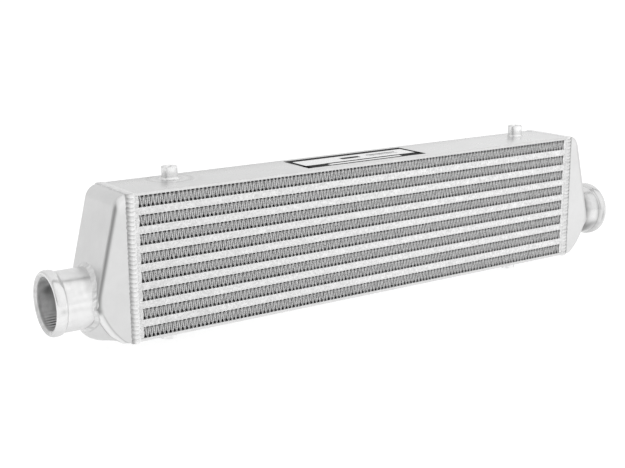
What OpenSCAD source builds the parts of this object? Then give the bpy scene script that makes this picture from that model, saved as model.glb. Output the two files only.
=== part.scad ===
// Front-mount air-to-air charge cooler (intercooler), bar-and-plate core
// with cast end tanks. The origin is the centre of the core block.
// +X runs along the core to the right-hand outlet, +Y to the rear,
// +Z up. All lengths are in millimetres.

/* [Core block] */
// Length of the brazed core along X
core_l = 550; // [400:10:700]
// Depth of the core, front to back
core_d = 65; // [60:1:76]
// Height of one row of cooling fins
fin_h = 10.8; // [9:0.1:11.4]
// Height of the closing bars of one charge air channel
bar_h = 5.6; // [4.8:0.1:6.4]
// Thickness of the sheets between fins and channels
sheet_t = 0.6; // [0.4:0.1:0.8]
// Thickness of the top and bottom plates
plate_t = 3; // [2:0.5:4]
// Width of the closing bars, front to back
bar_w = 6; // [4:0.5:9]
// Length of the end bars' square part along X
end_bar_l = 5; // [4:0.5:8]
// Length of the pointed nose on each end bar
end_nose = 0.8; // [0.5:0.1:2]

/* [Fins] */
// Full pitch of the cooling fins along X
fin_pitch = 4.31; // [3.5:0.01:6]
// Thickness of the fin strip
fin_t = 0.3; // [0.2:0.05:0.4]
// Pitch of the turbulators inside the charge channels
turb_pitch = 4.4; // [3.6:0.1:5.2]
// Thickness of the turbulator strip
turb_t = 0.4; // [0.3:0.05:0.5]

/* [End tanks] */
// Length of the parallel land at the tank's mouth
tank_land = 6; // [4:0.5:8]
// Radius of the upper shoulder
shoulder_r = 14; // [10:0.5:18]
// Lean of the outer face from upright, in degrees
face_lean = 13.7; // [10:0.1:16]
// Distance of the outer face from the core end, level with the pipe axis
tank_reach = 40.6; // [36:0.1:46]
// Wall thickness of the casting
tank_wall = 4; // [3:0.5:5]
// Radius of the rounded outlet end round the pipe
nose_r = 32.4; // [31:0.1:33]

/* [Hose spigots] */
// Outer diameter of the hose land
pipe_od = 57.2; // [54:0.1:58]
// Inner diameter of the pipe
pipe_id = 50.8; // [48:0.1:54]
// Height of the pipe axis above the core's centre plane
pipe_z = -28.2; // [-31:0.1:-20]
// Reach of the pipe's end from the core's centre
pipe_end = 351; // [345:0.5:370]
// Height of the hose bead above the land
bead_h = 2.2; // [1:0.1:3]
// Length of the bead band at the pipe's end
bead_l = 11; // [8:0.5:14]

/* [Mounting bosses] */
// Outer diameter of a boss
boss_d = 16; // [14:0.5:20]
// Height of a boss above its plate
boss_h = 12; // [10:0.5:16]
// Tapping diameter of the M8 hole
tap_d = 6.8; // [6.6:0.1:7]
// Depth of the tapped hole
tap_l = 10; // [8:0.5:11]
// X of the top left boss
boss_x1 = -215; // [-240:1:-180]
// X of the top right boss
boss_x2 = 235; // [180:1:240]
// Y of the top bosses
boss_yt = 13; // [-16:1:16]
// X of the bottom left boss
boss_x3 = -230; // [-240:1:-180]
// X of the bottom right boss
boss_x4 = 215; // [180:1:240]
// Y of the bottom bosses
boss_yb = -3; // [-16:1:16]

/* [Welds and label] */
// Height of the weld bead between tank and core
weld_h = 2; // [1:0.1:2.4]
// Width of that weld bead
weld_w = 10; // [6:0.5:11]
// Size of the top label along X
label_l = 152; // [100:1:180]
// Size of the top label, front to back
label_w = 48; // [30:0.5:50]
// Thickness of the label foil
label_t = 0.3; // [0.2:0.05:0.5]

/* [Hidden] */
$fn = 96;
channel_h = bar_h + 2 * sheet_t;
core_h = 8 * fin_h + 7 * channel_h + 2 * plate_t;
// weld ring round the pipe: outer radius and depth of its recess
ring_r = 31.2;
weld_seat = 2.2;
hx = core_l / 2;
hy = core_d / 2;
hz = core_h / 2;
// lowest point of fin row i, counted 1..8 from the top
function fin_z(i) = hz - plate_t - i * fin_h - (i - 1) * channel_h;
// lowest point of charge channel i, counted 1..7 from the top
function chan_z(i) = hz - plate_t - i * fin_h - i * channel_h;

aluminium = [0.86, 0.87, 0.88];
cast_aluminium = [0.84, 0.85, 0.87];
fin_grey = [0.62, 0.63, 0.65];

// ---------- core block ----------

// flat plate that closes the stack, its underside at height z
module side_plate(z)
    color(aluminium)
        translate([-hx, -hy, z]) cube([core_l, core_d, plate_t]);

// Section of a folded strip: n half waves of length p2, height h and
// strip thickness t, with a flat of half width a on each crest.
function wave_x(k, p2, n) = (k - n / 2) * p2;
function wave_top(k, p2, n, h, t, a, b) =
    k % 2 == 0
        ? [[wave_x(k, p2, n) - a, h], [wave_x(k, p2, n) + a, h]]
        : [[wave_x(k, p2, n) - b, t], [wave_x(k, p2, n) + b, t]];
function wave_low(k, p2, n, h, t, a, b) =
    k % 2 == 0
        ? [[wave_x(k, p2, n) + b, h - t], [wave_x(k, p2, n) - b, h - t]]
        : [[wave_x(k, p2, n) + a, 0], [wave_x(k, p2, n) - a, 0]];
module folded_strip(p2, n, h, t, a, b)
    polygon(concat(
        [for (k = [0 : n]) each wave_top(k, p2, n, h, t, a, b)],
        [for (k = [n : -1 : 0]) each wave_low(k, p2, n, h, t, a, b)]));

fin_n = floor(2 * (core_l - 2 * (end_bar_l + end_nose) - 1) / fin_pitch);
// one row of cooling fins: ridges run front to back
module cooling_fin(i)
    color(fin_grey)
        translate([0, hy - 0.3, fin_z(i)]) rotate([90, 0, 0])
            linear_extrude(height = core_d - 0.6)
                folded_strip(fin_pitch / 2, fin_n, fin_h, fin_t, 0.45, 0.2);

turb_n = 2 * floor((core_d - 2 * bar_w - 1.4) / turb_pitch);
// one turbulator: ridges run along the charge air's way
module turbulator(i)
    color(fin_grey)
        translate([-hx + 0.5, 0, chan_z(i) + sheet_t])
            rotate([90, 0, 90])
                linear_extrude(height = core_l - 1)
                    folded_strip(turb_pitch / 2, turb_n, bar_h, turb_t,
                                 0.7, 0.35);

// closing bar of channel i; side is -1 at the front, 1 at the rear
module long_bar(i, side)
    color(aluminium)
        translate([-hx, side > 0 ? hy - bar_w : -hy, chan_z(i) + sheet_t])
            cube([core_l, bar_w, bar_h]);

// sheets 1 and 2 close channel 1, sheets 3 and 4 channel 2, and so on
module parting_sheet(n)
    color(aluminium)
        translate([-hx, -hy,
                   chan_z(ceil(n / 2)) + (n % 2 == 1 ? bar_h + sheet_t : 0)])
            cube([core_l, core_d, sheet_t]);

// the eight bars that close the fin rows at one end of the core
module end_bars(side)
    color(aluminium)
        for (i = [1 : 8])
            translate([0, hy, fin_z(i)]) rotate([90, 0, 0])
                linear_extrude(height = core_d)
                    polygon([
                        [side * hx, 0],
                        [side * (hx - end_bar_l), 0],
                        [side * (hx - end_bar_l - end_nose), fin_h / 2],
                        [side * (hx - end_bar_l), fin_h],
                        [side * hx, fin_h]]);

// ---------- end tanks ----------

// Right-hand tank body, moved g inwards from its outer surface. The mouth
// is the core's rectangle. The outer face leans, meets a rounded shoulder
// at the top, and narrows to a round nose behind the pipe at the bottom.
face_x = hx + tank_reach;
module on_face(d)
    translate([face_x, 0, pipe_z]) rotate([0, -face_lean, 0])
        translate([d, 0, 0]) rotate([0, 90, 0]) children();
module tank_body(g)
    hull() {
        translate([hx, -(hy - g), -(hz - g)])
            cube([tank_land, 2 * (hy - g), 2 * (hz - g)]);
        // shoulder, with its front and rear edges eased
        translate([hx + 5.6, 0, hz - shoulder_r]) rotate([90, 0, 0]) {
            cylinder(r = shoulder_r - g, h = core_d - 2 * g - 5,
                     center = true, $fn = 40);
            cylinder(r = shoulder_r - g - 2.4, h = core_d - 2 * g,
                     center = true, $fn = 40);
        }
        // round end that carries the pipe
        on_face(-4.6 - g) cylinder(r = nose_r - g, h = 0.6, $fn = 40);
        on_face(-0.6 - g) cylinder(r = nose_r - g - 4.4, h = 0.6, $fn = 40);
        // full belly under the pipe
        translate([hx + 24.5, 0, -hz + 20]) rotate([90, 0, 0]) {
            cylinder(r = 20 - g, h = 22 - g, center = true, $fn = 40);
            cylinder(r = 14 - g, h = 50 - g, center = true, $fn = 40);
        }
    }
module right_tank()
    color(cast_aluminium)
        difference() {
            tank_body(0);
            tank_body(tank_wall);
            // the open mouth, cut flat where it meets the core
            translate([hx - 5, -(hy - tank_wall), -(hz - tank_wall)])
                cube([7, core_d - 2 * tank_wall, core_h - 2 * tank_wall]);
            translate([hx - 30, -core_d, -core_h])
                cube([30, 2 * core_d, 2 * core_h]);
            // seat of the pipe
            translate([hx + 15, 0, pipe_z]) rotate([0, 90, 0])
                cylinder(d = pipe_od + 0.1, h = 60);
            // recess for the weld ring
            on_face(-weld_seat) cylinder(r = ring_r + 0.1, h = 12);
        }

// ---------- hose spigots ----------

// turned pipe with a rounded hose bead at its end, cut flush with the
// inside of the leaning tank face
module right_pipe()
    color(aluminium)
        difference() {
            translate([0, 0, pipe_z]) rotate([0, 90, 0])
                rotate_extrude($fn = 128)
                    polygon(concat(
                        [[pipe_id / 2, hx + 18],
                         [pipe_od / 2, hx + 18],
                         [pipe_od / 2, pipe_end - bead_l]],
                        // rounded rise and crest of the bead
                        [for (t = [1 : 6])
                            [pipe_od / 2 + bead_h * (1 - cos(t * 30)) / 2,
                             pipe_end - bead_l + t * 0.75]],
                        [for (t = [0 : 6])
                            [pipe_od / 2 + bead_h - 2.4 + 2.4 * cos(t * 15),
                             pipe_end - 2.4 + 2.4 * sin(t * 15)]],
                        [[pipe_id / 2 + 0.8, pipe_end],
                         [pipe_id / 2, pipe_end - 0.8]]));
            translate([face_x, 0, pipe_z]) rotate([0, -face_lean, 0])
                translate([-60 - tank_wall, -50, -50])
                    cube([60, 100, 100]);
        }

// smooth weld ring where the pipe leaves the tank, in a shallow recess
module right_pipe_weld()
    color(aluminium)
        difference() {
            on_face(-weld_seat)
                rotate_extrude()
                    polygon(concat(
                        [[pipe_od / 2 - 3, 0], [ring_r, 0]],
                        [for (t = [0 : 6])
                            [ring_r - 3 + 3 * cos(t * 15),
                             weld_seat + 2.4 * sin(t * 15)]],
                        [[pipe_od / 2 - 3, weld_seat + 2.4]]));
            translate([hx, 0, pipe_z]) rotate([0, 90, 0])
                cylinder(d = pipe_od, h = 80);
        }

// ---------- welds, bosses, label ----------

// weld bead all round the joint of core and tank
module right_tank_bead()
    color(aluminium)
        difference() {
            hull()
                for (s = [-1 : 0.5 : 1])
                    let (e = weld_h * (1 - s * s))
                        translate([hx + 2.4 + s * weld_w / 2, 0, 0])
                            for (y = [-1, 1], z = [-1, 1])
                                translate([0, y * (hy - 2 + e),
                                           z * (hz - 2 + e)])
                                    rotate([0, 90, 0])
                                        cylinder(r = 2, h = 0.05,
                                                 center = true, $fn = 24);
            translate([hx - 20, -hy, -hz]) cube([40, core_d, core_h]);
        }

// tapped boss standing on its plate, with a small fillet weld at its foot
module boss()
    color(aluminium)
        difference() {
            rotate_extrude($fn = 96)
                polygon(concat(
                    [[0, 0]],
                    [for (t = [0 : 5])
                        [boss_d / 2 + 1.8 * (1 - sin(t * 18)),
                         3 * (1 - cos(t * 18))]],
                    [[boss_d / 2, boss_h - 0.8],
                     [boss_d / 2 - 0.8, boss_h],
                     [0, boss_h]]));
            translate([0, 0, boss_h - tap_l])
                cylinder(d = tap_d, h = tap_l + 1);
            // lead-in of the thread
            translate([0, 0, boss_h - 0.8])
                cylinder(d1 = tap_d, d2 = tap_d + 2, h = 1);
        }
module top_boss(x) translate([x, boss_yt, hz]) boss();
module bottom_boss(x) translate([x, boss_yb, -hz]) mirror([0, 0, 1]) boss();

// plain foil label on the top plate
module label()
    color([0.9, 0.91, 0.92])
        translate([-3.5, 0.5, hz])
            linear_extrude(height = label_t)
                square([label_l, label_w], center = true);

module left_side() mirror([1, 0, 0]) children();

// ---------- pieces ----------

side_plate(hz - plate_t);  // top_plate
side_plate(-hz);  // bottom_plate
cooling_fin(1);  // cooling_fin_1
cooling_fin(2);  // cooling_fin_2
cooling_fin(3);  // cooling_fin_3
cooling_fin(4);  // cooling_fin_4
cooling_fin(5);  // cooling_fin_5
cooling_fin(6);  // cooling_fin_6
cooling_fin(7);  // cooling_fin_7
cooling_fin(8);  // cooling_fin_8
long_bar(1, -1);  // front_bar_1
long_bar(2, -1);  // front_bar_2
long_bar(3, -1);  // front_bar_3
long_bar(4, -1);  // front_bar_4
long_bar(5, -1);  // front_bar_5
long_bar(6, -1);  // front_bar_6
long_bar(7, -1);  // front_bar_7
long_bar(1, 1);  // rear_bar_1
long_bar(2, 1);  // rear_bar_2
long_bar(3, 1);  // rear_bar_3
long_bar(4, 1);  // rear_bar_4
long_bar(5, 1);  // rear_bar_5
long_bar(6, 1);  // rear_bar_6
long_bar(7, 1);  // rear_bar_7
turbulator(1);  // turbulator_1
turbulator(2);  // turbulator_2
turbulator(3);  // turbulator_3
turbulator(4);  // turbulator_4
turbulator(5);  // turbulator_5
turbulator(6);  // turbulator_6
turbulator(7);  // turbulator_7
parting_sheet(1);  // parting_sheet_1
parting_sheet(2);  // parting_sheet_2
parting_sheet(3);  // parting_sheet_3
parting_sheet(4);  // parting_sheet_4
parting_sheet(5);  // parting_sheet_5
parting_sheet(6);  // parting_sheet_6
parting_sheet(7);  // parting_sheet_7
parting_sheet(8);  // parting_sheet_8
parting_sheet(9);  // parting_sheet_9
parting_sheet(10);  // parting_sheet_10
parting_sheet(11);  // parting_sheet_11
parting_sheet(12);  // parting_sheet_12
parting_sheet(13);  // parting_sheet_13
parting_sheet(14);  // parting_sheet_14
end_bars(-1);  // left_end_bars
end_bars(1);  // right_end_bars
left_side() right_tank();  // left_end_tank
right_tank();  // right_end_tank
left_side() right_pipe();  // left_spigot
right_pipe();  // right_spigot
left_side() right_tank_bead();  // left_tank_weld
right_tank_bead();  // right_tank_weld
left_side() right_pipe_weld();  // left_spigot_weld
right_pipe_weld();  // right_spigot_weld
top_boss(boss_x1);  // top_left_boss
top_boss(boss_x2);  // top_right_boss
bottom_boss(boss_x3);  // bottom_left_boss
bottom_boss(boss_x4);  // bottom_right_boss
label();  // top_label
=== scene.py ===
import math

import bpy
import numpy as np
from mathutils import Matrix, Vector
from mathutils.bvhtree import BVHTree
from mathutils.kdtree import KDTree


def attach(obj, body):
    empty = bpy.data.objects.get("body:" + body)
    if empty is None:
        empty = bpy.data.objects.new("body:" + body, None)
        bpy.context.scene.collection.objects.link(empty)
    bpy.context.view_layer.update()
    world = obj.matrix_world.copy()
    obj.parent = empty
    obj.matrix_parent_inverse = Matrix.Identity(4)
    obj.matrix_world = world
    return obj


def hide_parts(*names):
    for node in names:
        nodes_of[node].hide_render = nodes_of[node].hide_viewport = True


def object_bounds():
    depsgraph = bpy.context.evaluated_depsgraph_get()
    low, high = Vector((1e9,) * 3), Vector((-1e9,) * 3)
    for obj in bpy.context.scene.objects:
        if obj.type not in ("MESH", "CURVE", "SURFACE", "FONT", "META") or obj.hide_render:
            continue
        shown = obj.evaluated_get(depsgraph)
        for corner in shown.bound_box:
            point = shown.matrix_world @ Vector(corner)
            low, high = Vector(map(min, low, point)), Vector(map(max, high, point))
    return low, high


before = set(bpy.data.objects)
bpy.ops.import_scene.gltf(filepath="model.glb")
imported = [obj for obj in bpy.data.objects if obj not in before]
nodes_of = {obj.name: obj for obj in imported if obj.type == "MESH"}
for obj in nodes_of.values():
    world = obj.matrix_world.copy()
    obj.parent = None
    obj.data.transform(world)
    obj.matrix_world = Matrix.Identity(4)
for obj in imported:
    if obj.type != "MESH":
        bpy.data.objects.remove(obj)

cad_lo, cad_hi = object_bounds()

# ---------------------------------------------------------------- sizes, mm
HX, HY, HZ = 275.0, 32.5, 70.0
PLATE, FIN_H, BAR_H, SHEET = 3.0, 10.8, 5.6, 0.6
CH = BAR_H + 2 * SHEET
PIPE_Z, PIPE_R, BORE_R, PIPE_END = -28.2, 28.6, 25.4, 351.0
LEAN = math.radians(13.7)


def fin_z(i):
    return HZ - PLATE - i * FIN_H - (i - 1) * CH


def chan_z(i):
    return HZ - PLATE - i * FIN_H - i * CH


def lean_x(z):
    """x of the leaning outer face of a tank at height z."""
    return 308.9 - 0.2437 * (z + 0.9)


# ---------------------------------------------------------------- node trees
class Tree:
    """Short helper that adds shader nodes and links them."""

    def __init__(self, tree):
        self.t = tree

    def add(self, kind, **props):
        n = self.t.nodes.new(kind)
        for k, v in props.items():
            if k.startswith("i_"):
                key = k[2:]
                n.inputs[int(key) if key.isdigit() else key.replace("_", " ")].default_value = v
            else:
                setattr(n, k, v)
        return n

    def link(self, a, b):
        self.t.links.new(a, b)

    def noise(self, vec, scale, detail=3.0, rough=0.55, distort=0.0):
        n = self.add("ShaderNodeTexNoise")
        n.inputs["Scale"].default_value = scale
        n.inputs["Detail"].default_value = detail
        n.inputs["Roughness"].default_value = rough
        n.inputs["Distortion"].default_value = distort
        self.link(vec, n.inputs["Vector"])
        return n.outputs["Fac"]

    def stretch(self, vec, scale):
        n = self.add("ShaderNodeMapping")
        n.inputs["Scale"].default_value = scale
        self.link(vec, n.inputs["Vector"])
        return n.outputs["Vector"]

    def remap(self, val, a, b, c, d):
        n = self.add("ShaderNodeMapRange")
        for k, v in zip(("From Min", "From Max", "To Min", "To Max"), (a, b, c, d)):
            n.inputs[k].default_value = v
        self.link(val, n.inputs["Value"])
        return n.outputs["Result"]

    def ramp(self, val, stops):
        n = self.add("ShaderNodeValToRGB")
        e = n.color_ramp.elements
        while len(e) < len(stops):
            e.new(0.5)
        for el, (p, c) in zip(e, stops):
            el.position = p
            el.color = (c[0], c[1], c[2], 1.0)
        self.link(val, n.inputs["Fac"])
        return n.outputs["Color"]

    def mixc(self, fac, a, b, mode="MIX"):
        n = self.add("ShaderNodeMix", data_type="RGBA", blend_type=mode)
        if isinstance(fac, float):
            n.inputs[0].default_value = fac
        else:
            self.link(fac, n.inputs[0])
        self.link(a, n.inputs[6])
        self.link(b, n.inputs[7])
        return n.outputs[2]

    def math(self, op, a, b=None):
        n = self.add("ShaderNodeMath", operation=op)
        for k, v in enumerate((a, b)):
            if v is None:
                continue
            if isinstance(v, (int, float)):
                n.inputs[k].default_value = v
            else:
                self.link(v, n.inputs[k])
        return n.outputs[0]

    def bump(self, height, dist, strength=1.0, normal=None):
        n = self.add("ShaderNodeBump")
        n.inputs["Strength"].default_value = strength
        n.inputs["Distance"].default_value = dist
        self.link(height, n.inputs["Height"])
        if normal is not None:
            self.link(normal, n.inputs["Normal"])
        return n.outputs["Normal"]


def face_depth(t, co):
    """Depth in mm behind the core's front or rear face."""
    sep = t.add("ShaderNodeSeparateXYZ")
    t.link(co, sep.inputs[0])
    y = t.math("ABSOLUTE", sep.outputs["Y"])
    return t.remap(y, 0.0325, 0.0225, 0.0, 1.0)


def grey(v, warm=0.0):
    return (v * (1 + warm), v, v * (1 - warm))


def new_material(name, metallic):
    m = bpy.data.materials.new(name)
    m.use_nodes = True
    t = Tree(m.node_tree)
    b = m.node_tree.nodes["Principled BSDF"]
    b.inputs["Metallic"].default_value = metallic
    co = t.add("ShaderNodeTexCoord").outputs["Object"]
    return m, t, b, co


def along(t, co, axis, a, b_, absolute=True):
    """0 to 1 between two places, in metres, along an axis of the part."""
    sep = t.add("ShaderNodeSeparateXYZ")
    t.link(co, sep.inputs[0])
    v = sep.outputs[axis]
    if absolute:
        v = t.math("ABSOLUTE", v)
    return t.remap(v, a, b_, 0.0, 1.0)


def metal(name, low, high, rough, grain=1400.0, grain_depth=0.00002, cloud=18.0,
          metallic=1.0, strokes=None, stroke_depth=0.00001, rough_cloud=45.0,
          pits=0.0, depth=None, fine=0.35, fine_scale=9.0, zones=(), tone=False, rings=()):
    """Aluminium finish: clouded colour, patchy roughness, fine grain in the
    bump, and if strokes is given, brushed or turned lines stretched by it.
    zones scale the colour along an axis of the part: (axis, from, to, absolute, stops).
    rings are round scuffs on the plate: (x, y, inner r, outer r, stops).
    tone multiplies the colour by the mesh's own attribute: mostly painted shade, highlights and reflections, with some
    weld soot and random tone."""
    m, t, b, co = new_material(name, metallic)
    c1 = t.noise(co, cloud, 4.0, 0.6)
    c2 = t.noise(co, cloud * fine_scale, 3.0, 0.55)
    mixed = t.math("ADD", t.math("MULTIPLY", c1, 1 - fine), t.math("MULTIPLY", c2, fine))
    col = t.ramp(mixed, [(0.32, grey(low)), (0.68, grey(high))])
    if depth is not None:
        # painted shade: darker further in between the fins, on the sheets partly flux left by brazing
        shade = t.ramp(face_depth(t, co), [(p, grey(v)) for p, v in depth])
        col = t.mixc(1.0, col, shade, "MULTIPLY")
    for axis, a, b_, absolute, stops in zones:
        shade = t.ramp(along(t, co, axis, a, b_, absolute), [(p, (v, v, v)) for p, v in stops])
        col = t.mixc(1.0, col, shade, "MULTIPLY")
    for cx, cy, r0, r1, stops in rings:
        n = t.add("ShaderNodeVectorMath", operation="DISTANCE")
        t.link(t.stretch(co, (1.0, 1.0, 0.0)), n.inputs[0])
        n.inputs[1].default_value = (cx, cy, 0.0)
        d = t.math("ADD", n.outputs["Value"], t.math("MULTIPLY", c2, 0.006))
        shade = t.ramp(t.remap(d, r0, r1, 0.0, 1.0), [(p, (v, v, v)) for p, v in stops])
        col = t.mixc(1.0, col, shade, "MULTIPLY")
    if tone:
        own = t.add("ShaderNodeAttribute", attribute_type="GEOMETRY", attribute_name="tone")
        col = t.mixc(1.0, col, own.outputs["Fac"], "MULTIPLY")
    t.link(col, b.inputs["Base Color"])
    r1 = t.noise(co, rough_cloud, 4.0, 0.6)
    rr = t.remap(r1, 0.3, 0.7, rough[0], rough[1])
    t.link(rr, b.inputs["Roughness"])
    g = t.noise(co, grain, 3.0, 0.6)
    nrm = t.bump(g, grain_depth)
    if strokes is not None:
        s = t.noise(t.stretch(co, strokes), 1.0, 3.0, 0.6)
        nrm = t.bump(s, stroke_depth, 1.0, nrm)
    if pits:
        v = t.add("ShaderNodeTexVoronoi")
        v.inputs["Scale"].default_value = 420.0
        t.link(co, v.inputs["Vector"])
        p = t.remap(v.outputs["Distance"], 0.0, 0.35, 0.0, 1.0)
        nrm = t.bump(p, pits, 0.6, nrm)
    t.link(nrm, b.inputs["Normal"])
    return m


M = {}
M["tank"] = metal("cast_satin", 0.65, 0.70, (0.34, 0.44), grain=1600.0, grain_depth=0.00001,
                  cloud=14.0, rough_cloud=60.0, tone=True,
                  zones=(("X", -0.25, 0.25, False, ((0.0, 0.98), (1.0, 1.09))),))
M["tank_in"] = metal("cast_inside", 0.5, 0.72, (0.5, 0.7), grain=1300.0, grain_depth=0.00008,
                     cloud=60.0, metallic=0.3, rough_cloud=120.0)
M["plate"] = metal("plate_rolled", 0.75, 0.81, (0.24, 0.34), grain=1500.0, grain_depth=0.000008,
                   cloud=10.0, strokes=(25.0, 900.0, 900.0), stroke_depth=0.000006,
                   zones=(("Y", 0.0285, 0.0325, False, ((0.0, 1.0), (0.4, 0.93), (1.0, 0.8))),
                          ("X", -0.275, 0.15, False, ((0.0, 0.9), (0.5, 0.96), (1.0, 1.0)))),
                   rings=((-0.215, 0.013, 0.012, 0.036, ((0.0, 1.0), (0.12, 0.88), (0.28, 1.04), (0.5, 0.8),
                                                        (0.66, 1.02), (0.8, 0.95), (1.0, 1.0))),))
M["plate_edge"] = metal("plate_sawn_edge", 0.66, 0.80, (0.4, 0.55), grain=1900.0,
                        grain_depth=0.00003, cloud=120.0, rough_cloud=300.0, fine=0.6)
M["bar"] = metal("bar_blasted", 0.66, 0.99, (0.5, 0.68), grain=1500.0, grain_depth=0.0001,
                 cloud=60.0, rough_cloud=300.0, fine=0.8, fine_scale=10.0,
                 zones=(("X", -0.275, 0.05, False, ((0.0, 0.9), (0.5, 0.95), (1.0, 0.99))),))
M["sheet"] = metal("sheet_brazed", 0.84, 0.96, (0.45, 0.65), grain=1900.0, grain_depth=0.00004,
                   cloud=80.0, rough_cloud=250.0,
                   depth=((0.0, 1.0), (0.05, 0.95), (0.12, 0.8), (0.5, 0.6), (1.0, 0.45)))
M["fin"] = metal("fin_strip", 0.96, 1.0, (0.34, 0.5), grain=2200.0, grain_depth=0.00001,
                 cloud=50.0, rough_cloud=200.0,
                 depth=((0.0, 1.0), (0.085, 1.0), (0.11, 0.9), (0.2, 0.82), (0.4, 0.77), (1.0, 0.66)),
                 zones=(("X", -0.2, 0.2, False, ((0.0, 0.94), (1.0, 1.0))),))
M["turb"] = metal("turbulator_strip", 0.52, 0.64, (0.4, 0.55), grain=2200.0,
                  grain_depth=0.00001, cloud=50.0, rough_cloud=200.0)
# the pipe's lower part is painted darker: painted shade
M["pipe"] = metal("pipe_turned", 0.79, 0.86, (0.2, 0.28), grain=1800.0, grain_depth=0.000004,
                  cloud=16.0, strokes=(2600.0, 60.0, 60.0), stroke_depth=0.000006, tone=True,
                  zones=(("Z", -0.057, -0.036, False, ((0.0, 0.74), (0.45, 0.87), (1.0, 1.0))),))
M["bore"] = metal("pipe_bore", 0.74, 0.96, (0.3, 0.55), grain=1300.0, grain_depth=0.00008,
                  cloud=75.0, metallic=0.5, rough_cloud=120.0, fine=0.25, fine_scale=5.0, tone=True)
M["weld"] = metal("weld_bead", 0.76, 0.95, (0.24, 0.4), grain=1500.0, grain_depth=0.00008,
                  cloud=120.0, rough_cloud=400.0, fine=0.6, fine_scale=6.0, tone=True)
M["ring"] = metal("ring_weld", 0.70, 0.82, (0.26, 0.4), grain=1700.0, grain_depth=0.00002,
                  cloud=90.0, rough_cloud=300.0, tone=True)
M["boss"] = metal("boss_turned", 0.78, 0.88, (0.16, 0.26), grain=1500.0, grain_depth=0.000004,
                  cloud=30.0, strokes=(80.0, 80.0, 3000.0), stroke_depth=0.000005, tone=True)


# ---------------------------------------------------------------- mesh helpers
def make(name, co, faces, mats, replaces=(), angle=35.0, mat_index=None):
    """Mesh object from points in mm, riding on the part's one body."""
    me = bpy.data.meshes.new(name)
    me.from_pydata((np.asarray(co, float) * 0.001).tolist(), [], faces)
    me.validate(verbose=False)
    o = bpy.data.objects.new(name, me)
    bpy.context.scene.collection.objects.link(o)
    for m in mats:
        me.materials.append(m)
    if mat_index is not None:
        me.polygons.foreach_set("material_index", mat_index)
    smooth(me, angle)
    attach(o, "root")
    if replaces:
        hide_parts(*replaces)
    return o


def smooth(me, angle):
    me.shade_smooth()
    me.set_sharp_from_angle(angle=math.radians(angle))
    me.update()


def flipped(faces):
    return [tuple(reversed(f)) for f in faces]


def mirror_x(co):
    out = np.array(co, float)
    out[:, 0] *= -1
    return out


def grid_faces(rows, cols, base=0, wrap_rows=False, wrap_cols=False):
    f = []
    for i in range(rows if wrap_rows else rows - 1):
        a = base + i * cols
        b = base + ((i + 1) % rows) * cols
        for j in range(cols if wrap_cols else cols - 1):
            k = (j + 1) % cols
            f.append((a + j, a + k, b + k, b + j))
    return f


def boolean(obj, cutter, op="DIFFERENCE"):
    mod = obj.modifiers.new("cut", "BOOLEAN")
    mod.operation = op
    mod.solver = "EXACT"
    mod.object = cutter
    dg = bpy.context.evaluated_depsgraph_get()
    me = bpy.data.meshes.new_from_object(obj.evaluated_get(dg))
    obj.modifiers.clear()
    old = obj.data
    obj.data = me
    bpy.data.meshes.remove(old)
    bpy.data.objects.remove(cutter)


def smoothstep(x, a, b):
    t = np.clip((np.asarray(x, float) - a) / (b - a), 0, 1)
    return t * t * (3 - 2 * t)


def wave_noise(x, seed, lengths=(3.0, 7.0, 17.0), weights=(0.4, 0.35, 0.25)):
    """Smooth, repeatable wander of a line, between about -1 and 1."""
    rng = np.random.default_rng(seed)
    x = np.asarray(x, float)
    out = np.zeros_like(x)
    for l, w in zip(lengths, weights):
        for k in range(3):
            out += w / 1.6 * np.sin(2 * math.pi * x / (l * rng.uniform(0.7, 1.4))
                                    + rng.uniform(0, 6.28))
    return out


def bevelled_box(x0, x1, y0, y1, z0, z1, r, xs=None, wob=0.0, seed=1, steps=2):
    """Long box along X with its four long edges rounded by r. The long edges
    wander by wob, as sawn and brazed bar does."""
    xs = np.linspace(x0, x1, 2) if xs is None else np.asarray(xs, float)
    prof = []
    for cy, cz, a0 in ((y1 - r, z1 - r, 0), (y0 + r, z1 - r, 90),
                       (y0 + r, z0 + r, 180), (y1 - r, z0 + r, 270)):
        for k in range(steps + 1):
            a = math.radians(a0 + 90 * k / steps)
            prof.append((cy + r * math.cos(a), cz + r * math.sin(a)))
    prof = np.array(prof)
    n = len(prof)
    cy, cz = (y0 + y1) / 2, (z0 + z1) / 2
    pts = []
    wtop = wob * wave_noise(xs, seed)
    wbot = wob * wave_noise(xs, seed + 50)
    inset = 0.25
    for i, x in enumerate(xs):
        k = 1.0
        p = prof.copy()
        p[:, 1] += np.where(p[:, 1] > cz, wtop[i], wbot[i])
        pts.append(np.column_stack([np.full(n, x), p]))
    # eased ends
    def cap(x, src, d):
        q = src.copy()
        q[:, 0] = x
        q[:, 1] = cy + (q[:, 1] - cy) * (1 - 2 * d / (y1 - y0))
        q[:, 2] = cz + (q[:, 2] - cz) * (1 - 2 * d / (z1 - z0))
        return q
    pts[0][:, 0] += inset
    pts[-1][:, 0] -= inset
    rows = [cap(x0, pts[0], inset)] + pts + [cap(x1, pts[-1], inset)]
    co = np.vstack(rows)
    f = grid_faces(len(rows), n, wrap_cols=True)
    f = flipped(f)
    f.append(tuple(range(n)))
    last = (len(rows) - 1) * n
    f.append(tuple(last + k for k in reversed(range(n))))
    return co, f


def merge(parts):
    co, fc, base = [], [], 0
    for c, f in parts:
        c = np.asarray(c, float)
        co.append(c)
        fc += [tuple(v + base for v in q) for q in f]
        base += len(c)
    return np.vstack(co), fc


# ---------------------------------------------------------------- cooling fins
PITCH = 4.31
P2 = PITCH / 2
FIN_N = int(2 * (2 * HX - 2 * 5.8 - 1) / PITCH)


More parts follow.
